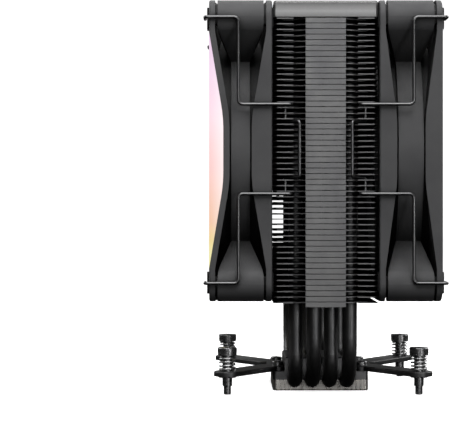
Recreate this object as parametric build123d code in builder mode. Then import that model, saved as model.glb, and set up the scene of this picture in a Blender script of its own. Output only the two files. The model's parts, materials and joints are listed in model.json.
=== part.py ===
from build123d import *
from math import cos, radians, sin
import os

# Tower cooler for a processor with a fan on each side of its fin stack, in millimetres, +Z up.
# The origin is the centre of the cold plate's contact face. X is the way the air flows, from the lit
# front fan to the rear fan, and Y runs along the long side of the fins.

# Fans
fan_size = 120.0
fan_thick = 25.0
fan_gap = 42.4              # clear distance between the two fans
fan_bottom = 39.0           # height of the fans' lower edge above the contact face
fan_z = fan_bottom + fan_size / 2
fan_half = fan_size / 2
hole_offset = 52.5          # screw holes from the fan's centre lines, a 105 mm square
hole_radius = 2.2
front_fan_x = -fan_gap / 2 - fan_thick      # intake face of the front fan
rear_fan_x = fan_gap / 2                    # intake face of the rear fan

# Fan frame
flange_thick = 2.4
frame_corner = 7.0
edge_round = 0.8
bore_radius = 55.6
bell_radius = 58.6          # the bore opens out to this at both faces
bell_depth = 4.0
duct_radius = 56.5
duct_inside = 32.0          # inside the bore, as far from the middle as the flanges' swells reach in
band_radius = 59.7          # raised band round the middle of the duct
front_band_half = 3.75      # half width of that band, on each fan
rear_band_half = 5.0
block_half = 9.15           # half width of a corner block, a narrow groove short of the flanges
block_knee_out = 58.1       # its outside curves in from the frame's corner to this knee ...
block_knee_along = 47.7
block_end = 36.0            # ... and runs straight from there until it meets the duct
block_taper = 48.0          # where it starts to narrow towards the duct band
taper_round = 13.0
groove_depth = 1.4          # depth of the grooves between the flanges and a corner block
core_start = 50.0           # solid corner behind the grooves, from the centre line
bow_foot = 47.0             # a flange swells between these two distances from its side's middle
bow_crest = 13.0
bow_round = 60.0
swell_gap = 0.6             # left between the crest of a swell and the band

# Light ring of the front fan
light_depth = 5.7
ring_depth = 1.6
ring_outer = 61.0
light_gap = 0.05
light_inset = 0.4
board_thick = 0.7
board_width = 1.6
board_half_angle = 6.5
board_shift = 0.2           # outwards from the middle of the ring's rim

# Motor, as depths from the exhaust face of a fan
motor_base_radius = 21.0
motor_base_thick = 2.5
strut_width = 3.2
strut_depth = 3.0
strut_count = 4
strut_turn = 20.0           # angle of the first strut
strut_line = ThreePointArc((20, 0), (38, -5), (58, 0))
tube_radius = 4.2
tube_bore = 3.0
bearing_from, bearing_to = 5.2, 16.4
shaft_radius = 1.5
shaft_from, shaft_to = 3.2, 19.4
running_gap = 0.05
fit_gap = 0.02              # between pieces that are pressed or bonded together
end_gap = 0.2               # end play left beyond bearings, pins and screw tips
boss_radius = 3.4
clip_from, clip_to = 4.3, 4.7
clip_radius = 2.5
clip_groove = 1.2
board_radius = 17.5
board_hole = 4.7
circuit_thick = 1.2
chip_count = 3
chip_length, chip_width, chip_height = 3.0, 4.0, 0.8
chip_turn = 45.0
stator_from, stator_to = 6.0, 13.0
stator_radius = 13.8
stator_poles = 4
core_radius = 6.6
stem_width = 3.0
shoe_thick = 1.8
shoe_gap = 3.0
winding_from, winding_to = 7.0, 11.5        # distances from the fan's axis
winding_build = 1.2
winding_round = 0.8
magnet_from, magnet_to = 5.5, 15.5
magnet_inner, magnet_outer = 15.0, 16.9
cup_from, cup_to = 5.0, 18.0
cup_inner, cup_outer = 17.0, 17.8
hub_from, hub_to = 4.0, 20.6
hub_inner, hub_outer = 17.9, 20.6
hub_cap = 2.4
hub_round = 1.8

# Blades
blade_count = 9
blade_tip = 54.8
blade_mid_depth = 12.2
blade_thick = 1.8
blade_edge = 0.3
blade_root_inset = 0.8      # how far a blade's root reaches into the hub's wall from its inside
blade_tip_excess = 3.0      # how far it's drawn past the tip radius before it's trimmed
# Each section from root to tip: half depth, half rise, camber and how far it's swept round
blade_sections = ((7.6, 6.2, 2.6, 0.0), (7.6, 11.2, 2.4, 3.0), (6.6, 15.6, 2.0, 9.0))

# Fin stack
fin_count = 52
fin_pitch = 2.2085
fin_thick = 0.4
fin_top = fan_bottom + 112.33       # middle of the highest fin
fin_half_x = 20.7
fin_half_y = 58.0
fin_corner = 1.4
tab_half = 7.95                     # folded tab in the middle of each long edge
tab_gap = 0.28
band_half_x = 8.05                  # the middle band stands out as far as the fin's outer lips
notch_near, notch_far = 56.1, 54.6  # sloping floor of the notch beside it
notch_x = 12.3
lip_x = 12.8                        # inner end of the outer lip
pocket_x = 16.8                     # a pocket behind the lip holds the wire clip
pocket_near, pocket_far = 55.2, 52.9

# Top cover
cover_bottom = fan_bottom + 112.9
cover_top = fan_bottom + 119.4
cover_wall = 1.6
cover_corner = 0.8
cover_round = 0.9

# Heat pipes
pipe_radius = 3.0
pipe_spacing = 7.25
pipe_reach = 38.0           # the farther leg of each pipe, from the middle
pipe_near_reach = 31.0      # the nearer leg
pipe_z = 4.5                # centre of the run inside the base
pipe_top = fan_bottom + 117.0
pipe_gap = 0.05
pipe_lead = 0.5             # straight stretch between the base and a bend
pipe_tip_chamfer = 1.2

# Base
base_half_x = 20.0
base_half_y = 19.0
base_block_top = 14.0
ledge_x = 15.0              # the brackets lie on ledges outside this
ledge_z = 8.0
base_corner = 1.5
plate_chamfer = 0.4
block_chamfer = 0.6
base_slots = 5
base_slot_width = 1.6
base_slot_depth = 3.0

# Mounting brackets and spring screws
screw_offset = 39.0         # spring screws from the middle, a 78 mm square
bracket_thick = 2.0
bracket_inner = 15.2
bracket_root = 7.0          # width of the strip that lies on the ledge
bracket_root_inset = 2.0    # how far that strip stops short of the base's ends
bracket_root_round = 2.0
bracket_chamfer = 0.3
arm_start = 3.0             # an arm starts this far outside the bracket's screws
ear_radius = 5.5
ear_hole = 2.3
bracket_screw_x, bracket_screw_y = 17.8, 11.0
bracket_screw_radius = 1.5
bracket_screw_head = 2.5
bracket_screw_head_height = 1.8
bracket_screw_depth = 3.0
bracket_screw_slot = (2.8, 0.7, 1.0)        # length, width and depth of the cross recess
screw_head_radius = 3.95
screw_head_height = 2.6
screw_head_top = 19.7
screw_slot = (4.6, 1.1, 1.6)
screw_round = 0.5
screw_chamfer = 0.3
shank_radius = 2.0
thread_radius = 1.5
thread_top = 4.0
screw_tip = 0.5
washer_thick = 0.7
washer_inset = 0.1          # how much smaller a washer is than the screw's head
spring_radius = 3.1
spring_wire = 0.4
spring_pitch = 1.56
ring_thick = 0.6
ring_radius = 3.6
ring_groove = 1.6
ring_mouth = 2.8            # width of a retaining ring's opening

# Wire clips
wire_radius = 0.65
wire_end_round = 0.55
clip_out_y = 61.0           # runs along the fan's side, just clear of it
hook_x = fan_gap / 2 + fan_thick + 1.55
hook_z = fan_z + hole_offset
low_hook_z = fan_z - hole_offset
clip_drop_x = 34.6
clip_turn_x = 13.85
clip_pivot_x, clip_pivot_y = 15.95, 54.0
clip_handle_x, clip_handle_y = 10.4, 59.5
clip_bend = 0.95
clip_drop_bend = 1.8

# Corner pads
pad_size = 8.6
pad_round = 1.5
outer_pad_thick = 0.8
inner_pad_thick = fan_gap / 2 - fin_half_x
pad_hole = 2.6

fan_axis = Axis((0, 0, fan_z), (1, 0, 0))
os.makedirs("parts", exist_ok=True)


def save(piece, label):
    """Label a finished piece and write it as a STEP file of its own."""
    piece.part.label = label
    export_step(piece.part, f"parts/{label}.step")
    return piece.part


def fan_plane(x):
    """Plane across the air flow at x, centred on the fans' axis: its own axes are Y and Z."""
    return Plane(origin=(x, 0, fan_z), x_dir=(0, 1, 0), z_dir=(1, 0, 0))


def fan_section():
    """Plane through the fans' axis: its own axes are X and the distance from the axis."""
    return Plane(origin=(0, 0, fan_z), x_dir=(1, 0, 0), z_dir=(0, -1, 0))


def side_plane(x, quarter):
    """Plane on one of a fan's four sides, facing its axis, with X along the air flow."""
    out_y = -cos(radians(90 * quarter))
    out_z = -sin(radians(90 * quarter))
    origin = (x, out_y * fan_half, fan_z + out_z * fan_half)
    return Plane(origin=origin, x_dir=(1, 0, 0), z_dir=(0, -out_y, -out_z))


def gap_height(fin):
    """Height of the middle of the gap below a fin, counted from the top."""
    return fin_top - fin_pitch * (fin + 0.5)


def bow(depth):
    """Low trapezium with a rounded crest: how a flange swells towards the middle of its side."""
    back = -1.0 if depth > 0 else 1.0
    with BuildSketch() as swell:
        with BuildLine():
            Polyline(
                (back, -bow_foot), (0, -bow_foot), (depth, -bow_crest),
                (depth, bow_crest), (0, bow_foot), (back, bow_foot), close=True,
            )
        make_face()
        crest = swell.vertices().filter_by(lambda v: abs(v.X - depth) < 0.01)
        fillet(crest, radius=bow_round)
    return swell.sketch


def corner_blocks(x_middle, band_half):
    """Blocks that join the two flanges at the corners and narrow down to the duct band."""
    foot = (band_radius**2 - block_end**2) ** 0.5
    straight = fan_half - frame_corner
    turn = straight + frame_corner * cos(radians(45))
    with BuildPart() as blocks:
        with BuildSketch(fan_plane(x_middle)):
            with BuildLine():
                Polyline((block_end, block_end), (foot, block_end), (block_knee_out, block_knee_along))
                TangentArc(
                    (fan_half, straight), (block_knee_out, block_knee_along), tangent=(0, -1)
                )
                ThreePointArc((fan_half, straight), (turn, turn), (straight, fan_half))
                TangentArc(
                    (straight, fan_half), (block_knee_along, block_knee_out), tangent=(-1, 0)
                )
                Polyline((block_knee_along, block_knee_out), (block_end, foot), (block_end, block_end))
            make_face()
            mirror(about=Plane.YZ)
            mirror(about=Plane.XZ)
        extrude(amount=block_half, both=True)
        for quarter in (0, 1):
            with BuildSketch(side_plane(x_middle, quarter)) as waist:
                with BuildLine():
                    Polyline(
                        (0, fan_half), (block_half, fan_half), (block_half, block_taper),
                        (band_half, block_end), (band_half, 0), (0, 0), close=True,
                    )
                make_face()
                shoulder = waist.vertices().sort_by_distance((block_half, block_taper, 0))[0]
                fillet(shoulder, radius=taper_round)
                mirror(about=Plane.YZ)
                mirror(about=Plane.XZ)
            extrude(amount=fan_size, mode=Mode.INTERSECT)
    return blocks.part


def fan_frame(name, x_front, band_half, lit):
    """Square frame: two flanges, round duct, corner blocks, motor base, struts and bearing tube."""
    x_back = x_front + fan_thick
    x_middle = x_front + fan_thick / 2
    swell = fan_thick / 2 - flange_thick - band_half - swell_gap
    blocks = corner_blocks(x_middle, band_half)
    with BuildPart() as frame:
        for x, outer in ((x_front, 0), (x_back - flange_thick, -1)):
            with BuildSketch(fan_plane(x)):
                RectangleRounded(fan_size, fan_size, frame_corner)
            extrude(amount=flange_thick)
            fillet(frame.faces().sort_by(Axis.X)[outer].edges(), radius=edge_round)
        with BuildSketch(fan_plane(x_front + flange_thick / 2)):
            Circle(duct_radius)
        extrude(amount=fan_thick - flange_thick)
        with BuildSketch(fan_plane(x_middle)):
            Circle(band_radius)
        extrude(amount=band_half, both=True)
        with BuildSketch(fan_plane(x_front + flange_thick / 2)):
            core_size = fan_size - 2 * groove_depth
            RectangleRounded(core_size, core_size, frame_corner - groove_depth)
            Rectangle(2 * core_start, fan_size, mode=Mode.SUBTRACT)
            Rectangle(fan_size, 2 * core_start, mode=Mode.SUBTRACT)
        extrude(amount=fan_thick - flange_thick)
        add(blocks)
        for quarter in range(4):
            for x, way in ((x_front + flange_thick, 1), (x_back - flange_thick, -1)):
                with BuildSketch(side_plane(x, quarter)):
                    add(bow(way * swell))
                extrude(amount=fan_half - duct_inside)
        with BuildSketch(fan_section()):
            with BuildLine():
                Polyline(
                    (x_front - 1, 0), (x_front - 1, bell_radius + 1), (x_front, bell_radius),
                    (x_front + bell_depth, bore_radius), (x_back - bell_depth, bore_radius),
                    (x_back, bell_radius), (x_back + 1, bell_radius + 1), (x_back + 1, 0), close=True,
                )
            make_face()
        revolve(axis=fan_axis, mode=Mode.SUBTRACT)
        if lit:
            for quarter in range(4):
                with BuildSketch(side_plane(x_front, quarter)):
                    add(bow(light_depth))
                extrude(amount=fan_half - duct_inside, mode=Mode.SUBTRACT)
            with BuildSketch(fan_plane(x_front)):
                Circle(ring_outer)
            extrude(amount=ring_depth, mode=Mode.SUBTRACT)
        # Motor base, struts and bearing tube on the exhaust side
        with BuildSketch(fan_plane(x_back - motor_base_thick)):
            Circle(motor_base_radius)
        extrude(amount=motor_base_thick)
        with BuildSketch(fan_plane(x_back - strut_depth)):
            with PolarLocations(0, strut_count, start_angle=strut_turn):
                SlotArc(strut_line, height=strut_width)
        extrude(amount=strut_depth)
        with BuildSketch(fan_plane(x_back - bearing_to)):
            Circle(tube_radius)
        extrude(amount=bearing_to - motor_base_thick)
        with BuildSketch(fan_plane(x_back - bearing_to)):
            Circle(tube_bore)
        extrude(amount=bearing_to - motor_base_thick, mode=Mode.SUBTRACT)
        with BuildSketch(fan_plane(x_front)):
            with GridLocations(2 * hole_offset, 2 * hole_offset, 2, 2):
                Circle(hole_radius)
        extrude(amount=fan_thick, mode=Mode.SUBTRACT)
    save(frame, f"{name}_frame")


def blade(x_back):
    """One twisted and swept blade, standing up from the hub along +Z."""
    x_middle = x_back - blade_mid_depth
    root, tip = hub_inner + blade_root_inset, blade_tip + blade_tip_excess
    with BuildPart() as one_blade:
        for step, (half_depth, half_rise, camber, sweep) in enumerate(blade_sections):
            radius = root + (tip - root) * step / (len(blade_sections) - 1)
            plane = Plane(origin=(x_middle, 0, fan_z + radius), x_dir=(1, 0, 0), z_dir=(0, 0, 1))
            with BuildSketch(plane):
                with BuildLine():
                    low, high = sweep - half_rise, sweep + half_rise
                    upper = (camber, sweep - camber + blade_thick / 2)
                    lower = (camber, sweep - camber - blade_thick / 2)
                    ThreePointArc((-half_depth, low + blade_edge), upper, (half_depth, high + blade_edge))
                    Line((half_depth, high + blade_edge), (half_depth, high - blade_edge))
                    ThreePointArc((half_depth, high - blade_edge), lower, (-half_depth, low - blade_edge))
                    Line((-half_depth, low - blade_edge), (-half_depth, low + blade_edge))
                make_face()
        loft()
    return one_blade.part


def impeller(name, x_back):
    """Hub with its inner boss and the ring of blades, trimmed to the tip radius."""
    one_blade = blade(x_back)
    with BuildPart() as rotor:
        for k in range(blade_count):
            add(one_blade.rotate(fan_axis, 360 / blade_count * k))
        with BuildSketch(fan_plane(x_back - hub_to)):
            Circle(blade_tip)
        extrude(amount=hub_to, mode=Mode.INTERSECT)
        with BuildSketch(fan_plane(x_back - hub_to)):
            Circle(hub_outer)
        extrude(amount=hub_to - hub_from)
        fillet(rotor.faces().sort_by(Axis.X)[0].edges(), radius=hub_round)
        with BuildSketch(fan_plane(x_back - hub_to + hub_cap)):
            Circle(hub_inner)
        extrude(amount=hub_to - hub_cap - hub_from, mode=Mode.SUBTRACT)
        with BuildSketch(fan_plane(x_back - hub_to + hub_cap)):
            Circle(boss_radius)
        extrude(amount=hub_to - hub_cap - bearing_to - end_gap)
        with BuildSketch(fan_plane(x_back - shaft_to)):
            Circle(shaft_radius + fit_gap)
        extrude(amount=shaft_to - bearing_to, mode=Mode.SUBTRACT)
    save(rotor, f"{name}_impeller")


def ring(x_back, start, end, inner, outer):
    """Plain tube about a fan's axis between two depths from its exhaust face."""
    with BuildPart() as tube:
        with BuildSketch(fan_plane(x_back - end)):
            Circle(outer)
            Circle(inner, mode=Mode.SUBTRACT)
        extrude(amount=end - start)
    return tube


def rotor_inside(name, x_back):
    """What turns with the impeller: magnet ring, steel cup, shaft and the clip that keeps it in."""
    save(ring(x_back, magnet_from, magnet_to, magnet_inner, magnet_outer), f"{name}_magnet_ring")

    with BuildPart() as cup:
        with BuildSketch(fan_plane(x_back - cup_to)):
            Circle(cup_outer)
        extrude(amount=cup_to - cup_from)
        with BuildSketch(fan_plane(x_back - cup_to + cup_outer - cup_inner)):
            Circle(cup_inner)
        extrude(amount=cup_to - cup_from, mode=Mode.SUBTRACT)
        with BuildSketch(fan_plane(x_back - cup_to)):
            Circle(boss_radius + fit_gap)
        extrude(amount=cup_to - cup_from, mode=Mode.SUBTRACT)
    save(cup, f"{name}_rotor_cup")

    with BuildPart() as shaft:
        with BuildSketch(fan_plane(x_back - shaft_to)):
            Circle(shaft_radius)
        extrude(amount=shaft_to - shaft_from)
        with BuildSketch(fan_plane(x_back - clip_to)):
            Circle(shaft_radius)
            Circle(clip_groove, mode=Mode.SUBTRACT)
        extrude(amount=clip_to - clip_from, mode=Mode.SUBTRACT)
    save(shaft, f"{name}_shaft")

    with BuildPart() as clip:
        with BuildSketch(fan_plane(x_back - clip_to + running_gap)):
            Circle(clip_radius)
            Circle(clip_groove + fit_gap, mode=Mode.SUBTRACT)
            with Locations((clip_radius / 2, 0)):
                Rectangle(clip_radius, clip_groove, mode=Mode.SUBTRACT)
        extrude(amount=clip_to - clip_from - 2 * running_gap)
    save(clip, f"{name}_retaining_clip")


def motor(name, x_back):
    """What stays still inside the hub: bearing, circuit board, stator core and its windings."""
    bearing = ring(x_back, bearing_from, bearing_to, shaft_radius + running_gap, tube_bore - fit_gap)
    save(bearing, f"{name}_bearing")

    with BuildPart() as board:
        with BuildSketch(fan_plane(x_back - motor_base_thick - circuit_thick)):
            Circle(board_radius)
            Circle(board_hole, mode=Mode.SUBTRACT)
        extrude(amount=circuit_thick)
        with BuildSketch(fan_plane(x_back - motor_base_thick - circuit_thick)):
            with PolarLocations((board_radius + tube_radius) / 2, chip_count, start_angle=chip_turn):
                Rectangle(chip_length, chip_width)
        extrude(amount=-chip_height)
    save(board, f"{name}_circuit_board")

    with BuildPart() as core:
        with BuildSketch(fan_plane(x_back - stator_to)):
            Circle(stator_radius)
            Circle(stator_radius - shoe_thick, mode=Mode.SUBTRACT)
            with PolarLocations(stator_radius, stator_poles, start_angle=180 / stator_poles):
                Rectangle(4 * shoe_thick, shoe_gap, mode=Mode.SUBTRACT)
            Circle(core_radius)
            with PolarLocations(stator_radius / 2, stator_poles):
                Rectangle(stator_radius - shoe_thick / 2, stem_width)
            Circle(tube_radius + fit_gap, mode=Mode.SUBTRACT)
        extrude(amount=stator_to - stator_from)
    save(core, f"{name}_stator_core")

    winding_middle, winding_length = (winding_from + winding_to) / 2, winding_to - winding_from
    with BuildPart() as windings:
        with BuildSketch(fan_plane(x_back - stator_to - winding_build)):
            with PolarLocations(winding_middle, stator_poles):
                RectangleRounded(winding_length, stem_width + 2 * winding_build, winding_round)
        extrude(amount=stator_to - stator_from + 2 * winding_build)
        with BuildSketch(fan_plane(x_back - stator_to - fit_gap)):
            with PolarLocations(winding_middle, stator_poles):
                Rectangle(2 * winding_length, stem_width + 2 * fit_gap)
        extrude(amount=stator_to - stator_from + 2 * fit_gap, mode=Mode.SUBTRACT)
    save(windings, f"{name}_windings")


def pads(name, x_front):
    """Rubber pads about the screw holes on both faces of a fan, thicker towards the fins."""
    x_back = x_front + fan_thick
    thick_front, thick_back = outer_pad_thick, inner_pad_thick
    if x_front > 0:
        thick_front, thick_back = inner_pad_thick, outer_pad_thick
    with BuildPart() as corner_pads:
        for x, thick in ((x_front, -thick_front), (x_back, thick_back)):
            with BuildSketch(fan_plane(x)):
                with GridLocations(2 * hole_offset, 2 * hole_offset, 2, 2):
                    RectangleRounded(pad_size, pad_size, pad_round)
                    Circle(pad_hole, mode=Mode.SUBTRACT)
            extrude(amount=thick)
    save(corner_pads, f"{name}_pads")


def light_ring():
    """Translucent ring of the front fan, deeper in the middle of each side, and its LED boards."""
    x_front = front_fan_x
    with BuildPart() as lens:
        for quarter in range(4):
            with BuildSketch(side_plane(x_front, quarter)):
                add(bow(light_depth - light_gap))
            extrude(amount=fan_half - duct_inside)
        with BuildSketch(fan_plane(x_front)):
            Circle(ring_outer - light_gap)
        extrude(amount=ring_depth - light_gap)
        with BuildSketch(fan_plane(x_front)):
            Rectangle(fan_size - light_inset, fan_size - light_inset)
            Circle(bell_radius, mode=Mode.SUBTRACT)
        extrude(amount=light_depth, mode=Mode.INTERSECT)
        with BuildSketch(fan_plane(x_front + ring_depth - board_thick - light_gap)):
            add(board_arcs(light_gap))
        extrude(amount=board_thick + 2 * light_gap, mode=Mode.SUBTRACT)
    save(lens, "front_fan_light_ring")

    with BuildPart() as boards:
        with BuildSketch(fan_plane(x_front + ring_depth - board_thick)):
            add(board_arcs(0))
        extrude(amount=board_thick)
    save(boards, "front_fan_led_boards")


def board_arcs(margin):
    """Four short arcs of circuit board on the diagonals of the fan."""
    middle = (bell_radius + ring_outer) / 2 + board_shift
    with BuildSketch() as arcs:
        for corner in range(4):
            start = 45 + 90 * corner - board_half_angle
            SlotArc(CenterArc((0, 0), middle, start, 2 * board_half_angle), board_width + 2 * margin)
    return arcs.sketch


def top_cover():
    """Hollow cover over the stack and the tips of the pipes."""
    with BuildPart() as cover:
        with BuildSketch(Plane.XY.offset(cover_bottom)) as outline:
            Rectangle(2 * fin_half_x, 2 * fin_half_y)
            chamfer(outline.vertices(), length=cover_corner)
        extrude(amount=cover_top - cover_bottom)
        fillet(cover.faces().sort_by(Axis.Z)[-1].edges(), radius=cover_round)
        with BuildSketch(Plane.XY.offset(cover_bottom)) as inside:
            Rectangle(2 * (fin_half_x - cover_wall), 2 * (fin_half_y - cover_wall))
            chamfer(inside.vertices(), length=cover_corner)
        extrude(amount=cover_top - cover_bottom - cover_wall, mode=Mode.SUBTRACT)
    save(cover, "top_cover")


def pipe_legs(number):
    """Where the two legs of a heat pipe stand: its x, the near y and the far y."""
    x = (number - 2.5) * pipe_spacing
    if number % 2:
        return x, -pipe_near_reach, pipe_reach
    return x, -pipe_reach, pipe_near_reach


def fin_plate():
    """One fin: notched long sides with a pocket for the clips, pipe holes and two folded tabs."""
    with BuildPart() as fin:
        with BuildSketch():
            with BuildLine():
                Polyline(
                    (0, 0), (0, fin_half_y), (band_half_x, fin_half_y), (band_half_x, notch_near),
                    (notch_x, notch_far), (notch_x, pocket_far), (pocket_x, pocket_far),
                    (pocket_x, pocket_near), (lip_x, pocket_near), (lip_x, fin_half_y),
                    (fin_half_x - fin_corner, fin_half_y), (fin_half_x, fin_half_y - fin_corner),
                    (fin_half_x, 0), close=True,
                )
            make_face()
            mirror(about=Plane.YZ)
            mirror(about=Plane.XZ)
            for number in range(1, 5):
                x, near_y, far_y = pipe_legs(number)
                with Locations((x, near_y), (x, far_y)):
                    Circle(pipe_radius + pipe_gap, mode=Mode.SUBTRACT)
        extrude(amount=fin_thick / 2, both=True)
        with BuildSketch(Plane.XY.offset(-fin_thick / 2)):
            with GridLocations(0, 2 * fin_half_y - fin_thick, 1, 2):
                Rectangle(2 * tab_half, fin_thick)
        extrude(amount=-(fin_pitch - fin_thick - tab_gap))
    return fin.part


def cooling_fins():
    """The whole stack of fins."""
    plate = fin_plate()
    with BuildPart() as stack:
        with Locations([(0, 0, fin_top - fin_pitch * k) for k in range(fin_count)]):
            add(plate)
    save(stack, "cooling_fins")


def heat_pipes():
    """Four U-shaped pipes: a run through the base and two legs up through the fins."""
    for number in range(1, 5):
        x, near_y, far_y = pipe_legs(number)
        near_bend = -near_y - base_half_y - pipe_lead
        far_bend = far_y - base_half_y - pipe_lead
        with BuildPart() as pipe:
            with BuildLine(Plane(origin=(x, 0, 0), x_dir=(0, 1, 0), z_dir=(1, 0, 0))):
                Line((near_y, pipe_top), (near_y, pipe_z + near_bend))
                RadiusArc((near_y, pipe_z + near_bend), (near_y + near_bend, pipe_z), -near_bend)
                Line((near_y + near_bend, pipe_z), (far_y - far_bend, pipe_z))
                RadiusArc((far_y - far_bend, pipe_z), (far_y, pipe_z + far_bend), -far_bend)
                Line((far_y, pipe_z + far_bend), (far_y, pipe_top))
            with BuildSketch(Plane(origin=(x, near_y, pipe_top), z_dir=(0, 0, -1))):
                Circle(pipe_radius)
            sweep()
            tips = pipe.faces().sort_by(Axis.Z)[-2:].edges()
            chamfer(tips, length=pipe_tip_chamfer)
        save(pipe, f"heat_pipe_{number}")


def base():
    """Cold plate below the pipes and the block above them that takes the brackets."""
    with BuildPart() as plate:
        with BuildSketch() as foot:
            Rectangle(2 * base_half_x, 2 * base_half_y)
            fillet(foot.vertices(), radius=base_corner)
        extrude(amount=pipe_z)
        chamfer(plate.faces().sort_by(Axis.Z)[0].edges(), length=plate_chamfer)
        with BuildSketch(Plane.XZ):
            with Locations([((k - 1.5) * pipe_spacing, pipe_z) for k in range(4)]):
                Circle(pipe_radius + fit_gap)
        extrude(amount=base_half_y + 1, both=True, mode=Mode.SUBTRACT)
    save(plate, "cold_plate")

    with BuildPart() as block:
        with BuildSketch(Plane.XY.offset(pipe_z)) as outline:
            Rectangle(2 * base_half_x, 2 * base_half_y)
            fillet(outline.vertices(), radius=base_corner)
        extrude(amount=ledge_z - pipe_z)
        with BuildSketch(Plane.XY.offset(ledge_z)):
            Rectangle(2 * ledge_x, 2 * base_half_y)
        extrude(amount=base_block_top - ledge_z)
        chamfer(block.faces().sort_by(Axis.Z)[-1].edges(), length=block_chamfer)
        with BuildSketch(Plane.XY.offset(base_block_top)):
            with GridLocations(2 * ledge_x / (base_slots + 1), 0, base_slots, 1):
                Rectangle(base_slot_width, 2 * base_half_y + 1)
        extrude(amount=-base_slot_depth, mode=Mode.SUBTRACT)
        with BuildSketch(Plane.XZ):
            with Locations([((k - 1.5) * pipe_spacing, pipe_z) for k in range(4)]):
                Circle(pipe_radius + fit_gap)
        extrude(amount=base_half_y + 1, both=True, mode=Mode.SUBTRACT)
        with BuildSketch(Plane.XY.offset(ledge_z)):
            with GridLocations(2 * bracket_screw_x, 2 * bracket_screw_y, 2, 2):
                Circle(bracket_screw_radius + fit_gap)
        extrude(amount=-bracket_screw_depth, mode=Mode.SUBTRACT)
    save(block, "base_block")


def brackets():
    """The two steel brackets that reach out to the spring screws, and their four screws."""
    arm_x = bracket_screw_x + arm_start
    for name, way in (("front_bracket", -1), ("rear_bracket", 1)):
        with BuildPart() as bracket:
            with BuildSketch(Plane.XY.offset(ledge_z)) as outline:
                with Locations((way * (bracket_inner + bracket_root / 2), 0)):
                    RectangleRounded(
                        bracket_root, 2 * (base_half_y - bracket_root_inset), bracket_root_round
                    )
                for side in (-1, 1):
                    arm = Line(
                        (way * arm_x, side * bracket_screw_y),
                        (way * screw_offset, side * screw_offset), mode=Mode.PRIVATE,
                    )
                    SlotArc(arm, height=2 * ear_radius)
                with GridLocations(0, 2 * screw_offset, 1, 2):
                    with Locations((way * screw_offset, 0)):
                        Circle(ear_hole, mode=Mode.SUBTRACT)
                with GridLocations(0, 2 * bracket_screw_y, 1, 2):
                    with Locations((way * bracket_screw_x, 0)):
                        Circle(bracket_screw_radius + running_gap, mode=Mode.SUBTRACT)
            extrude(amount=bracket_thick)
            flat_faces = bracket.faces().filter_by(Axis.Z)
            chamfer(flat_faces.sort_by(Axis.Z)[-1].outer_wire().edges(), length=bracket_chamfer)
        save(bracket, name)

    slot_length, slot_width, slot_depth = bracket_screw_slot
    with BuildPart() as screws:
        with BuildSketch(Plane.XY.offset(ledge_z + bracket_thick)):
            with GridLocations(2 * bracket_screw_x, 2 * bracket_screw_y, 2, 2):
                Circle(bracket_screw_head)
        extrude(amount=bracket_screw_head_height)
        top = screws.faces().filter_by(Axis.Z).group_by(Axis.Z)[-1].edges()
        fillet(top, radius=screw_round)
        with BuildSketch(Plane.XY.offset(ledge_z + bracket_thick + bracket_screw_head_height)):
            with GridLocations(2 * bracket_screw_x, 2 * bracket_screw_y, 2, 2):
                Rectangle(slot_width, slot_length)
                Rectangle(slot_length, slot_width)
        extrude(amount=-slot_depth, mode=Mode.SUBTRACT)
        with BuildSketch(Plane.XY.offset(ledge_z + bracket_thick)):
            with GridLocations(2 * bracket_screw_x, 2 * bracket_screw_y, 2, 2):
                Circle(bracket_screw_radius)
        extrude(amount=-(bracket_thick + bracket_screw_depth - end_gap))
    save(screws, "bracket_screws")


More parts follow.
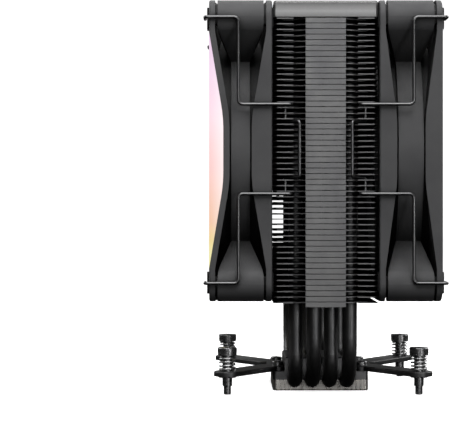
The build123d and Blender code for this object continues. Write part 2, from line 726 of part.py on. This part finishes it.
def spring_screws():
    """Each corner's captive screw with its washer, coil spring and retaining ring."""
    corners = {"front_near": (-1, -1), "front_far": (-1, 1), "rear_near": (1, -1), "rear_far": (1, 1)}
    head_bottom = screw_head_top - screw_head_height
    seat = ledge_z + bracket_thick
    slot_length, slot_width, slot_depth = screw_slot
    for corner, (side_x, side_y) in corners.items():
        centre = (side_x * screw_offset, side_y * screw_offset)
        with BuildPart() as screw:
            with BuildSketch(Plane.XY.offset(head_bottom)):
                with Locations(centre):
                    Circle(screw_head_radius)
            extrude(amount=screw_head_height)
            fillet(screw.faces().sort_by(Axis.Z)[-1].edges(), radius=screw_round)
            with BuildSketch(Plane.XY.offset(screw_head_top)):
                with Locations(centre):
                    Rectangle(slot_width, slot_length)
                    Rectangle(slot_length, slot_width)
            extrude(amount=-slot_depth, mode=Mode.SUBTRACT)
            with BuildSketch(Plane.XY.offset(thread_top)):
                with Locations(centre):
                    Circle(shank_radius)
            extrude(amount=head_bottom - thread_top)
            with BuildSketch(Plane.XY.offset(screw_tip)):
                with Locations(centre):
                    Circle(thread_radius)
            extrude(amount=thread_top - screw_tip)
            chamfer(screw.faces().sort_by(Axis.Z)[0].edges(), length=screw_chamfer)
            with BuildSketch(Plane.XY.offset(ledge_z - ring_thick - running_gap)):
                with Locations(centre):
                    Circle(shank_radius)
                    Circle(ring_groove, mode=Mode.SUBTRACT)
            extrude(amount=ring_thick, mode=Mode.SUBTRACT)
        save(screw, f"{corner}_spring_screw")

        with BuildPart() as washer:
            with BuildSketch(Plane.XY.offset(head_bottom - washer_thick)):
                with Locations(centre):
                    Circle(screw_head_radius - washer_inset)
                    Circle(shank_radius + running_gap, mode=Mode.SUBTRACT)
            extrude(amount=washer_thick - running_gap)
        save(washer, f"{corner}_washer")

        with BuildPart() as retainer:
            with BuildSketch(Plane.XY.offset(ledge_z - ring_thick)):
                with Locations(centre):
                    Circle(ring_radius)
                    Circle(ring_groove + fit_gap, mode=Mode.SUBTRACT)
                with Locations((centre[0], centre[1] + side_y * ring_radius / 2)):
                    Rectangle(ring_mouth, ring_radius, mode=Mode.SUBTRACT)
            extrude(amount=ring_thick - 2 * running_gap)
        save(retainer, f"{corner}_retaining_ring")

        height = head_bottom - washer_thick - seat - 2 * spring_wire
        with BuildPart() as spring:
            with BuildLine() as coil:
                Helix(spring_pitch, height, spring_radius, center=(*centre, seat + spring_wire))
            with BuildSketch(Plane(origin=coil.line @ 0, z_dir=coil.line % 0)):
                Circle(spring_wire)
            sweep(is_frenet=True)
        save(spring, f"{corner}_spring")


def clip_path(side_x, side_y):
    """Corners of a clip's wire: two hooks, two pivots behind the fins' lips and the handle bar."""
    upper = [
        (hook_x, hole_offset, hook_z), (hook_x, clip_out_y, hook_z), (clip_drop_x, clip_out_y, hook_z),
        (clip_drop_x, clip_out_y, gap_height(15)), (clip_turn_x, clip_out_y, gap_height(15)),
        (clip_turn_x, clip_pivot_y, gap_height(15)), (clip_pivot_x, clip_pivot_y, gap_height(15)),
        (clip_pivot_x, clip_pivot_y, gap_height(18)), (clip_handle_x, clip_handle_y, gap_height(18)),
    ]
    lower = [
        (clip_handle_x, clip_handle_y, gap_height(28)), (clip_pivot_x, clip_pivot_y, gap_height(28)),
        (clip_pivot_x, clip_pivot_y, gap_height(31)), (clip_turn_x, clip_pivot_y, gap_height(31)),
        (clip_turn_x, clip_out_y, gap_height(31)), (clip_drop_x, clip_out_y, gap_height(31)),
        (clip_drop_x, clip_out_y, low_hook_z), (hook_x, clip_out_y, low_hook_z),
        (hook_x, hole_offset, low_hook_z),
    ]
    return [(side_x * x, side_y * y, z) for x, y, z in upper + lower]


def wire_clips():
    """Four bent wire clips, each hung in the pockets of the fins beside its fan."""
    for fan_name, side_x in (("front_fan", -1), ("rear_fan", 1)):
        for side_name, side_y in (("near", -1), ("far", 1)):
            points = clip_path(side_x, side_y)
            bends = [clip_drop_bend if abs(x) == clip_drop_x else clip_bend for x, y, z in points[1:-1]]
            with BuildPart() as clip:
                with BuildLine() as wire:
                    FilletPolyline(*points, radius=bends)
                with BuildSketch(Plane(origin=wire.line @ 0, z_dir=wire.line % 0)):
                    Circle(wire_radius)
                sweep()
                fillet(clip.faces().filter_by(GeomType.PLANE).edges(), radius=wire_end_round)
            save(clip, f"{fan_name}_{side_name}_clip")


fans = (("front_fan", front_fan_x, front_band_half), ("rear_fan", rear_fan_x, rear_band_half))
for fan, start, half in fans:
    back = start + fan_thick
    fan_frame(fan, start, half, lit=fan == "front_fan")
    impeller(fan, back)
    rotor_inside(fan, back)
    motor(fan, back)
    pads(fan, start)
light_ring()
top_cover()
cooling_fins()
heat_pipes()
base()
brackets()
spring_screws()
wire_clips()
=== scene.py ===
import json
import math
import bmesh
import bpy
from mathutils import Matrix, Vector


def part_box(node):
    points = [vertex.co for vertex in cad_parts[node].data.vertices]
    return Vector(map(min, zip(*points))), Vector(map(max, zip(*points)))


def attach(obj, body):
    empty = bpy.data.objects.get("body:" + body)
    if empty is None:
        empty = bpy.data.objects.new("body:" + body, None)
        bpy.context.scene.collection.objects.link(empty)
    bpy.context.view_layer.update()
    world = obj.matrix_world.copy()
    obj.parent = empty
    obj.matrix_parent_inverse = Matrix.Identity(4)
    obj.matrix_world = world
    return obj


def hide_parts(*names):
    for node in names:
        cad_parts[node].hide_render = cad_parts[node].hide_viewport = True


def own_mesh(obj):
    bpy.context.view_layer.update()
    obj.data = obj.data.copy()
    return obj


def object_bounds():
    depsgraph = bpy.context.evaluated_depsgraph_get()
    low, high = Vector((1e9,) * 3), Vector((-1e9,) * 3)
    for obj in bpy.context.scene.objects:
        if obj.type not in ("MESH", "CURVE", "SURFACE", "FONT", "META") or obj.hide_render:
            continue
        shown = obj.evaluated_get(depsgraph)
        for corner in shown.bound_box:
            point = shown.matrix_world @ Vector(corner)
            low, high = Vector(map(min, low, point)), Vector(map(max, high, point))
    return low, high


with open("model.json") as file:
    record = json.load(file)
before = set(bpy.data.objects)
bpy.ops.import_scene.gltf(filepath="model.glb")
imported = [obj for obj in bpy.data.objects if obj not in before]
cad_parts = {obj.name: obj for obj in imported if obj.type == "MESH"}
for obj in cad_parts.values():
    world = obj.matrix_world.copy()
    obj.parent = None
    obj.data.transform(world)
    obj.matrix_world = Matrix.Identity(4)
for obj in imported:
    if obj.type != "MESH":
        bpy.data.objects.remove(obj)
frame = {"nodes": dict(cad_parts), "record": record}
cad_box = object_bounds()

# The camera: level, before the cooler's near side and a little towards the front fan.
camera_place = (-0.0377, -0.720, 0.07206)
camera_lens = 130.65
camera_clip = (0.01, 100.0)  # nearest and farthest that it sees

# The studio: a white floor under a white dome, with dim soft light all round. Two large softboxes hang
# above, two small ones stand before the cooler and one on each side of it.
studio_radius = 6.0
studio_segments = 64
floor_glow = 0.82
dome_glow = 1.0
dome_foot = -0.01           # its edge, just below the floor
sky_tones = ((0.0, 0.0), (0.46, 0.01), (0.53, 0.07), (0.68, 0.26), (1.0, 0.28))  # from below to above
softboxes = (               # place, size and power
    ((-0.03, -0.33, 0.57), 0.50, 6.2),
    ((-0.04, -0.85, 0.10), 0.16, 0.45),
    ((0.40, -0.70, 0.10), 0.16, 1.30),
    ((0.06, 0.42, 0.66), 0.60, 3.0),
    ((0.80, 0.25, 0.45), 0.45, 5.5),
    ((-0.80, 0.25, 0.45), 0.45, 2.6),
)

# Painted highlight: how bright the cover's brushed face is painted, from its lower edge to its top, for
# the light its sides catch across their middle
cover_painted_highlight = ((0.0, 0.15), (0.35, 0.265), (0.65, 0.185), (0.92, 0.105), (0.96, 0.08))
cover_glare = 0.25          # share kept of its glancing reflections, which look too bright in full
cover_worn = 0.12           # brightness of its worn edges

# The colour of the lit ring, from its lower edge to its top
lens_tones = (
    (0.16, (0.94, 0.86, 0.41)), (0.20, (0.86, 0.67, 0.27)), (0.26, (0.86, 0.53, 0.35)),
    (0.34, (0.89, 0.55, 0.44)), (0.44, (0.87, 0.55, 0.53)), (0.52, (0.90, 0.59, 0.60)),
    (0.60, (0.92, 0.65, 0.72)), (0.76, (0.92, 0.68, 0.86)), (0.90, (0.92, 0.67, 0.91)),
)
lens_fade = (1.02, 0.72)    # its strength at the middle of a side and at the corners
lens_corner = 1.4           # how much farther from its centre a corner is than a side's middle
lens_rim = 0.001            # depth from its front that shows the full colour

plastic_shine = 0.2         # specular level of the moulded plastics
plastic_shade_reach = 0.016     # grooves narrower than this get painted shade
shade_open = (0.4, 0.9)   # how open a groove is where its painted shade is darkest, and where none is painted
worn_width = 0.0003         # how far wear reaches in from a metal edge
worn_patch = 0.002          # size of the patches it comes in
edge_round = 0.0002         # how far an edge looks rounded
edge_samples = 4            # rays a material sends out to find its edges and grooves

# The coil springs below the fans
spring_wire = 0.0004        # radius
spring_coils = 4.6
spring_closed = 0.9         # coils wound close at each end
closed_pitch = 2.1          # rise of a closed coil, in wire radii
coil_steps = 36             # straight stretches in one coil
wire_sides = 12             # flat sides that stand in for the round wire

corners = ("front_near", "front_far", "rear_near", "rear_far")


class Finish:
    """A material in the making: a Principled surface, and the nodes that feed it."""

    def __init__(self, name, **sockets):
        self.material = bpy.data.materials.new(name)
        self.material.use_nodes = True
        self.tree = self.material.node_tree
        self.surface = self.tree.nodes["Principled BSDF"]
        self.set(**sockets)

    def set(self, **sockets):
        """Give the surface's sockets values or links: metallic=1 sets its Metallic socket."""
        for name, value in sockets.items():
            self.feed(self.surface.inputs[name.replace("_", " ").title().replace("Ior", "IOR")], value)

    def feed(self, socket, value):
        if isinstance(value, bpy.types.NodeSocket):
            self.tree.links.new(value, socket)
        else:
            socket.default_value = value

    def node(self, kind, inputs=(), **settings):
        made = self.tree.nodes.new("ShaderNode" + kind)
        for name, value in settings.items():
            setattr(made, name, value)
        for place, value in dict(inputs).items():
            self.feed(made.inputs[place], value)
        return made

    def place(self, stretch=(1, 1, 1)):
        """Where a point is on the object, in metres, squeezed by stretch."""
        place = self.node("TexCoord").outputs["Object"]
        return self.node("Mapping", {"Vector": place, "Scale": stretch}).outputs["Vector"]

    def noise(self, size, detail=2.0, stretch=(1, 1, 1)):
        """Cloudy 0 to 1 pattern whose blotches are about size metres across."""
        inputs = {"Vector": self.place(stretch), "Scale": 1 / size, "Detail": detail}
        return self.node("TexNoise", inputs).outputs["Fac"]

    def scaled(self, factor, low, high, start=0.3, end=0.7):
        """Turn start to end of a pattern into low to high."""
        inputs = {
            "Value": factor, "From Min": start, "From Max": end, "To Min": low, "To Max": high,
        }
        return self.node("MapRange", inputs).outputs["Result"]

    def maths(self, operation, first, second):
        return self.node("Math", {0: first, 1: second}, operation=operation).outputs[0]

    def mixed(self, factor, first, second):
        """A colour from first to second as factor goes from 0 to 1."""
        colours = {"Factor": factor, 6: opaque(first), 7: opaque(second)}
        return self.node("Mix", colours, data_type="RGBA").outputs[2]

    def clouded(self, size, detail, first, second):
        """A colour that drifts between two, in blotches about size metres across."""
        return self.mixed(self.scaled(self.noise(size, detail), 0, 1), first, second)

    def dimmed(self, colour, share):
        """The colour times that share."""
        return self.node("VectorMath", {0: colour, "Scale": share}, operation="SCALE").outputs["Vector"]

    def toned(self, factor, tones):
        """The colour of a ramp of tones at that factor."""
        ramp = self.node("ValToRGB", {"Fac": factor})
        fill_ramp(ramp, tones)
        return ramp.outputs["Color"]

    def part_way(self, axis, start, end):
        """How far along an axis a point is, as 0 to 1 from start to end."""
        place = self.node("SeparateXYZ", {"Vector": self.place()})
        return self.scaled(place.outputs[axis], 0.0, 1.0, start=start, end=end)

    def rims(self, width, threshold=0.85):
        """1 along the edges, where a normal rounded over the width leaves the true one."""
        rounded = self.node("Bevel", {"Radius": width}, samples=edge_samples).outputs["Normal"]
        true = self.node("NewGeometry").outputs["Normal"]
        same = self.node("VectorMath", {0: rounded, 1: true}, operation="DOT_PRODUCT")
        return self.scaled(same.outputs["Value"], 1.0, 0.0, start=threshold, end=1.0)

    def wear(self, width, patch, least, most):
        """How worn a point is: along the edges only, and more in some patches than in others."""
        patches = self.scaled(self.noise(patch), least, most)
        return self.maths("MULTIPLY", self.rims(width), patches)

    def shaded(self, colour, reach, darkest):
        """Painted shade: the colour, darkened to that share in grooves and corners narrower than the
        reach.
        """
        openness = self.node("AmbientOcclusion", {"Distance": reach}, samples=edge_samples)
        share = self.scaled(openness.outputs["AO"], darkest, 1.0, *shade_open)
        return self.dimmed(colour, share)

    def relief(self, height, depth, rounding=0.0):
        """Bump the surface by depth metres where height is 1, over edges softened by rounding."""
        inputs = {"Height": height, "Distance": depth, "Strength": 1.0}
        if rounding:
            soft = self.node("Bevel", {"Radius": rounding}, samples=edge_samples)
            inputs["Normal"] = soft.outputs["Normal"]
        self.set(normal=self.node("Bump", inputs).outputs["Normal"])


def opaque(colour):
    """A colour with full alpha, or a colour that other nodes feed, as it is."""
    return colour if isinstance(colour, bpy.types.NodeSocket) else (*colour, 1.0)


def grey(level, tint=0.0):
    """A grey, a little bluer with tint."""
    return (level, level, level * (1 + tint))


def fill_ramp(ramp, tones):
    """Set a ramp's stops: each tone is a position and a colour."""
    stops = ramp.color_ramp.elements
    while len(stops) < len(tones):
        stops.new(0.5)
    for stop, (position, colour) in zip(stops, tones):
        stop.position = position
        stop.color = opaque(colour)


def grey_tones(levels):
    """Tones for a ramp from positions and brightnesses."""
    return [(position, grey(level)) for position, level in levels]


def moulded_plastic(name, level, roughness, grain_size, grain_depth):
    """Injection moulded plastic: fine spark-eroded grain, faint flow clouds, rubbed edges, and painted
    shade in its grooves.
    """
    finish = Finish(name, specular_ior_level=plastic_shine)
    base = finish.clouded(0.018, 3, grey(level * 0.85, 0.04), grey(level * 1.15, 0.02))
    rubbed = finish.wear(width=0.0004, patch=0.003, least=0.1, most=0.7)
    colour = finish.mixed(rubbed, base, grey(level * 1.3))
    # Painted shade: darker in grooves and corners, standing in for the shade that falls there
    finish.set(base_color=finish.shaded(colour, reach=plastic_shade_reach, darkest=0.02))
    finish.set(roughness=finish.scaled(finish.noise(0.005, detail=4), roughness - 0.06, roughness + 0.08))
    finish.relief(finish.noise(grain_size, detail=2), grain_depth, rounding=0.00035)
    return finish.material


def coated_metal(
    name, level, roughness, worn_level, grain_size=0.0006, stretch=(1, 1, 1), depth=4e-6,
    rounding=edge_round, shade_reach=0.0,
):
    """Bare, plated or coated metal: uneven tone, fine drawn or rolled grain, brighter edges, and painted
    shade in grooves when a reach for it is given.
    """
    finish = Finish(name, metallic=1.0)
    base = finish.clouded(0.009, 3, grey(level * 0.88, 0.03), grey(level * 1.12))
    worn = finish.wear(worn_width, worn_patch, least=0.2, most=0.9)
    colour = finish.mixed(worn, base, grey(worn_level))
    if shade_reach:
        # Painted shade in grooves and corners
        colour = finish.shaded(colour, reach=shade_reach, darkest=0.05)
    finish.set(base_color=colour)
    grain = finish.noise(grain_size, detail=3, stretch=stretch)
    finish.set(roughness=finish.scaled(grain, roughness - 0.07, roughness + 0.07))
    finish.relief(grain, depth, rounding=rounding)
    return finish.material


def brushed_cover():
    """Anodised aluminium brushed lengthwise, with a painted highlight: the light its sides catch across
    their middle is painted into its colour by height.
    """
    low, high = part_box("top_cover")
    finish = Finish("cover_aluminium", metallic=1.0, specular_tint=opaque(grey(cover_glare)))
    # Painted highlight: brightness by height stands in for the light its sides catch across their middle
    painted_light = finish.toned(finish.part_way("Z", low.z, high.z), grey_tones(cover_painted_highlight))
    strokes = finish.noise(0.0011, detail=3, stretch=(1, 0.04, 14))
    streaked = finish.dimmed(painted_light, finish.scaled(strokes, 0.88, 1.12))
    worn = finish.wear(worn_width, worn_patch, least=0.2, most=0.9)
    finish.set(base_color=finish.mixed(worn, streaked, grey(cover_worn)))
    finish.set(roughness=finish.scaled(strokes, 0.42, 0.56))
    finish.relief(strokes, 4e-6, rounding=edge_round)
    return finish.material


def light_lens():
    """Milky diffuser lit from behind: pink above, through salmon, to yellow below."""
    low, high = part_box("front_fan_light_ring")
    finish = Finish("light_lens", roughness=0.35)
    colour = finish.toned(finish.part_way("Z", low.z, high.z), lens_tones)
    depth = finish.node("SeparateXYZ", {"Vector": finish.place()}).outputs["X"]
    inward = finish.scaled(depth, 0.0, 0.5, start=low.x + lens_rim, end=high.x)
    lit = finish.mixed(inward, colour, grey(1.0))
    centre = (low + high) / 2
    across = finish.node("VectorMath", {0: finish.place(), 1: centre}, operation="DISTANCE")
    reach = (high.z - low.z) / 2
    fading = finish.scaled(
        across.outputs["Value"], *lens_fade, start=reach, end=lens_corner * reach,
    )
    mottled = finish.scaled(finish.noise(0.012, detail=2), 0.97, 1.02)
    strength = finish.maths("MULTIPLY", fading, mottled)
    finish.set(base_color=opaque(grey(0.05)), emission_color=lit, emission_strength=strength)
    finish.relief(finish.noise(0.0008), 6e-6, rounding=edge_round)
    return finish.material


def tinted_metal(name, dark, light, roughness, grain_size, depth):
    """Coloured metal such as bronze, mottled between two tones."""
    finish = Finish(name, metallic=1.0)
    finish.set(base_color=finish.clouded(0.002, 4, dark, light))
    grain = finish.noise(grain_size, detail=3)
    finish.set(roughness=finish.scaled(grain, roughness - 0.08, roughness + 0.1))
    finish.relief(grain, depth)
    return finish.material


def wound_wire():
    """Enamelled copper: close turns of wire, shown as fine rounded ridges, with painted shade between the
    turns and a painted highlight on their crests.
    """
    finish = Finish("copper_wire", metallic=1.0)
    turns = finish.node("TexWave", {"Vector": finish.place(), "Scale": 1600.0, "Distortion": 0.4})
    # Painted shade and highlight: dark between the turns, bright on their crests
    painted_light = finish.scaled(turns.outputs["Fac"], 0, 1)
    finish.set(base_color=finish.mixed(painted_light, (0.30, 0.09, 0.03), (0.72, 0.30, 0.13)))
    finish.set(roughness=finish.scaled(finish.noise(0.0005), 0.25, 0.4))
    finish.relief(turns.outputs["Fac"], 6e-5)
    return finish.material


def board(name, mask, track):
    """Printed circuit: solder mask over slightly raised tracks."""
    finish = Finish(name, roughness=0.35)
    cells = finish.node(
        "TexVoronoi", {"Vector": finish.place(), "Scale": 420.0, "Randomness": 0.35},
        feature="DISTANCE_TO_EDGE",
    )
    tracks = finish.scaled(cells.outputs["Distance"], 1, 0, start=0.05, end=0.12)
    finish.set(base_color=finish.mixed(tracks, mask, track))
    finish.set(roughness=finish.scaled(finish.noise(0.002), 0.28, 0.45))
    finish.relief(tracks, 2e-5)
    return finish.material


def machined_plate():
    """Nickel plated copper, fly cut: faint rings of changing sheen, with copper showing at the edges and
    painted shade in its hollows.
    """
    finish = Finish("plated_copper", metallic=1.0)
    rings = finish.node(
        "TexWave", {"Vector": finish.place(), "Scale": 260.0, "Distortion": 0.3, "Detail": 2.0},
        wave_type="RINGS", rings_direction="Z",
    ).outputs["Fac"]
    base = finish.clouded(0.006, 3, (0.46, 0.44, 0.41), (0.58, 0.56, 0.53))
    colour = finish.mixed(finish.rims(worn_width), base, (0.66, 0.52, 0.40))
    # Painted shade in its hollows
    finish.set(base_color=finish.shaded(colour, reach=0.005, darkest=0.3))
    finish.set(roughness=finish.scaled(rings, 0.27, 0.33))
    finish.relief(finish.noise(0.0004, detail=2), 1e-6, rounding=0.0003)
    return finish.material


def finishes():
    """Every material slot of the record, by name."""
    return {
        "frame_plastic": moulded_plastic("frame_plastic", 0.046, 0.62, 0.0006, 1.2e-5),
        "blade_plastic": moulded_plastic("blade_plastic", 0.022, 0.38, 0.0004, 8e-6),
        "pad_rubber": moulded_plastic("pad_rubber", 0.014, 0.72, 0.0005, 2.5e-5),
        "light_lens": light_lens(),
        "led_board": board("led_board", (0.62, 0.64, 0.60), (0.72, 0.72, 0.66)),
        "circuit_board": board("circuit_board", (0.02, 0.10, 0.04), (0.06, 0.20, 0.08)),
        "bronze": tinted_metal("bronze", (0.36, 0.22, 0.10), (0.55, 0.37, 0.18), 0.42, 0.0004, 1e-5),
        "copper_wire": wound_wire(),
        "magnet": coated_metal("magnet", 0.09, 0.55, 0.16, depth=1e-5),
        "core_steel": coated_metal("core_steel", 0.32, 0.38, 0.5, stretch=(12, 1, 1)),
        "shaft_steel": coated_metal("shaft_steel", 0.62, 0.18, 0.7, stretch=(12, 1, 1), depth=1e-6),
        "cover_aluminium": brushed_cover(),
        # The gaps between the fins get painted shade
        "fin_aluminium": coated_metal(
            "fin_aluminium", 0.15, 0.46, 0.15, grain_size=0.0008, depth=1e-6, rounding=0.0,
            shade_reach=0.004,
        ),
        "pipe_coating": coated_metal("pipe_coating", 0.10, 0.44, 0.14, stretch=(1, 1, 0.2), depth=5e-7),
        "plated_copper": machined_plate(),
        "bracket_steel": coated_metal("bracket_steel", 0.07, 0.42, 0.2, depth=8e-6),
        "screw_steel": coated_metal("screw_steel", 0.20, 0.30, 0.4),
        "spring_steel": coated_metal("spring_steel", 0.42, 0.30, 0.6, stretch=(4, 4, 1)),
        "clip_steel": coated_metal("clip_steel", 0.09, 0.33, 0.14, stretch=(3, 3, 3), depth=1e-6),
    }


def dress_cad_nodes(materials):
    """Every CAD node takes the finish its slot names."""
    for part in frame["record"]["subparts"]:
        node = frame["nodes"][part["node"]]
        material = materials[part["material_slot"]]
        node.data.materials.clear()
        node.data.materials.append(material)


def put(name, data):
    """Put an object with that mesh, light or camera in the scene."""
    made = bpy.data.objects.new(name, data)
    bpy.context.scene.collection.objects.link(made)
    return made


def put_mesh(name, mesh):
    """Put a mesh that is done in the scene."""
    data = bpy.data.meshes.new(name)
    mesh.to_mesh(data)
    mesh.free()
    return put(name, data)


def wire_ring(mesh, points, index, radius):
    """Corners in a circle about one of the points, square to the wire."""
    before = points[max(index - 1, 0)]
    after = points[min(index + 1, len(points) - 1)]
    along = (after - before).normalized()
    out = along.cross(Vector((0, 0, 1))).normalized()
    up = out.cross(along)
    ring = []
    for side in range(wire_sides):
        turn = math.tau * side / wire_sides
        offset = radius * (math.cos(turn) * out + math.sin(turn) * up)
        ring.append(mesh.verts.new(points[index] + offset))
    return ring


def tube(name, points, radius):
    """A round wire of that radius along the points, with closed ends."""
    mesh = bmesh.new()
    rings = [wire_ring(mesh, points, index, radius) for index in range(len(points))]
    for first, second in zip(rings, rings[1:]):
        for side in range(wire_sides):
            following = (side + 1) % wire_sides
            mesh.faces.new((first[side], first[following], second[following], second[side]))
    mesh.faces.new(rings[0])
    mesh.faces.new(reversed(rings[-1]))
    bmesh.ops.recalc_face_normals(mesh, faces=mesh.faces)
    piece = put_mesh(name, mesh)
    for face in piece.data.polygons:
        face.use_smooth = len(face.vertices) == 4
    return piece


def coil_height(coils, rise):
    """How high the wire has climbed after that many coils: closed ones, open ones, closed ones."""
    closed_rise = spring_closed * spring_wire * closed_pitch
    if coils < spring_closed:
        return closed_rise * coils / spring_closed
    if coils > spring_coils - spring_closed:
        return rise - closed_rise * (spring_coils - coils) / spring_closed
    open_share = (coils - spring_closed) / (spring_coils - 2 * spring_closed)
    return closed_rise + open_share * (rise - 2 * closed_rise)


def spring_line(low, high):
    """The helix of a spring that fills a box."""
    middle = (low + high) / 2
    radius = (high.x - low.x) / 2 - spring_wire
    bottom = low.z + spring_wire
    rise = high.z - spring_wire - bottom
    points = []
    steps = round(spring_coils * coil_steps)
    for step in range(steps + 1):
        coils = spring_coils * step / steps
        turn = math.tau * coils
        points.append(Vector((
            middle.x + radius * math.cos(turn),
            middle.y + radius * math.sin(turn),
            bottom + coil_height(coils, rise),
        )))
    return points


def springs(material):
    """Coil springs, each a helix filling the box of the CAD spring it stands in for."""
    for corner in corners:
        low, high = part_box(f"{corner}_spring")
        coil = tube(f"{corner}_coil_spring", spring_line(low, high), spring_wire)
        coil.data.materials.append(material)
        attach(coil, "cooler")
        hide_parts(f"{corner}_spring")
        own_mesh(coil)


def studio_piece(name, mesh, glow):
    """A piece of the white surroundings, which only the camera sees."""
    piece = put_mesh(name, mesh)
    finish = Finish(name, roughness=0.9)
    finish.set(base_color=finish.clouded(0.05, 3, grey(0.90), grey(0.92)))
    finish.set(emission_color=opaque(grey(1.0)), emission_strength=glow)
    piece.data.materials.append(finish.material)
    piece.visible_diffuse = False
    piece.visible_glossy = False
    piece.visible_transmission = False
    piece.visible_shadow = False


def studio():
    """A wide white floor that catches a soft shadow, under a white dome."""
    floor = bmesh.new()
    bmesh.ops.create_circle(floor, cap_ends=True, segments=studio_segments, radius=studio_radius)
    studio_piece("studio_floor", floor, floor_glow)
    dome = bmesh.new()
    bmesh.ops.create_uvsphere(
        dome, u_segments=studio_segments, v_segments=studio_segments // 2, radius=studio_radius,
    )
    below = [corner for corner in dome.verts if corner.co.z < dome_foot]
    bmesh.ops.delete(dome, geom=below, context="VERTS")
    studio_piece("studio_dome", dome, dome_glow)


def studio_sky():
    """Soft light all round: bright above, faint at the horizon, next to nothing from below."""
    world = bpy.data.worlds.new("studio_sky")
    bpy.context.scene.world = world
    world.use_nodes = True
    nodes, links = world.node_tree.nodes, world.node_tree.links
    place = nodes.new("ShaderNodeTexCoord")
    split = nodes.new("ShaderNodeSeparateXYZ")
    level = nodes.new("ShaderNodeMapRange")
    ramp = nodes.new("ShaderNodeValToRGB")
    level.inputs["From Min"].default_value = -1.0
    links.new(place.outputs["Generated"], split.inputs["Vector"])
    links.new(split.outputs["Z"], level.inputs["Value"])
    links.new(level.outputs["Result"], ramp.inputs["Fac"])
    fill_ramp(ramp, grey_tones(sky_tones))
    links.new(ramp.outputs["Color"], nodes["Background"].inputs["Color"])


def softbox(place, size, power):
    """A soft square light that shines on the cooler's middle."""
    data = bpy.data.lights.new("softbox", "AREA")
    data.size = size
    data.energy = power
    light = put("softbox", data)
    light.location = place
    middle = (cad_box[0] + cad_box[1]) / 2
    light.rotation_euler = (middle - light.location).to_track_quat("-Z", "Y").to_euler()
    light.visible_camera = False


def camera():
    """A level camera that looks along Y."""
    data = bpy.data.cameras.new("camera")
    data.lens = camera_lens
    data.clip_start, data.clip_end = camera_clip
    made = put("camera", data)
    made.location = camera_place
    made.rotation_euler = (math.radians(90), 0, 0)
    bpy.context.scene.camera = made


materials = finishes()
dress_cad_nodes(materials)
springs(materials["spring_steel"])
studio()
studio_sky()
for place, size, power in softboxes:
    softbox(place, size, power)
camera()
bpy.context.scene.view_settings.view_transform = "Standard"
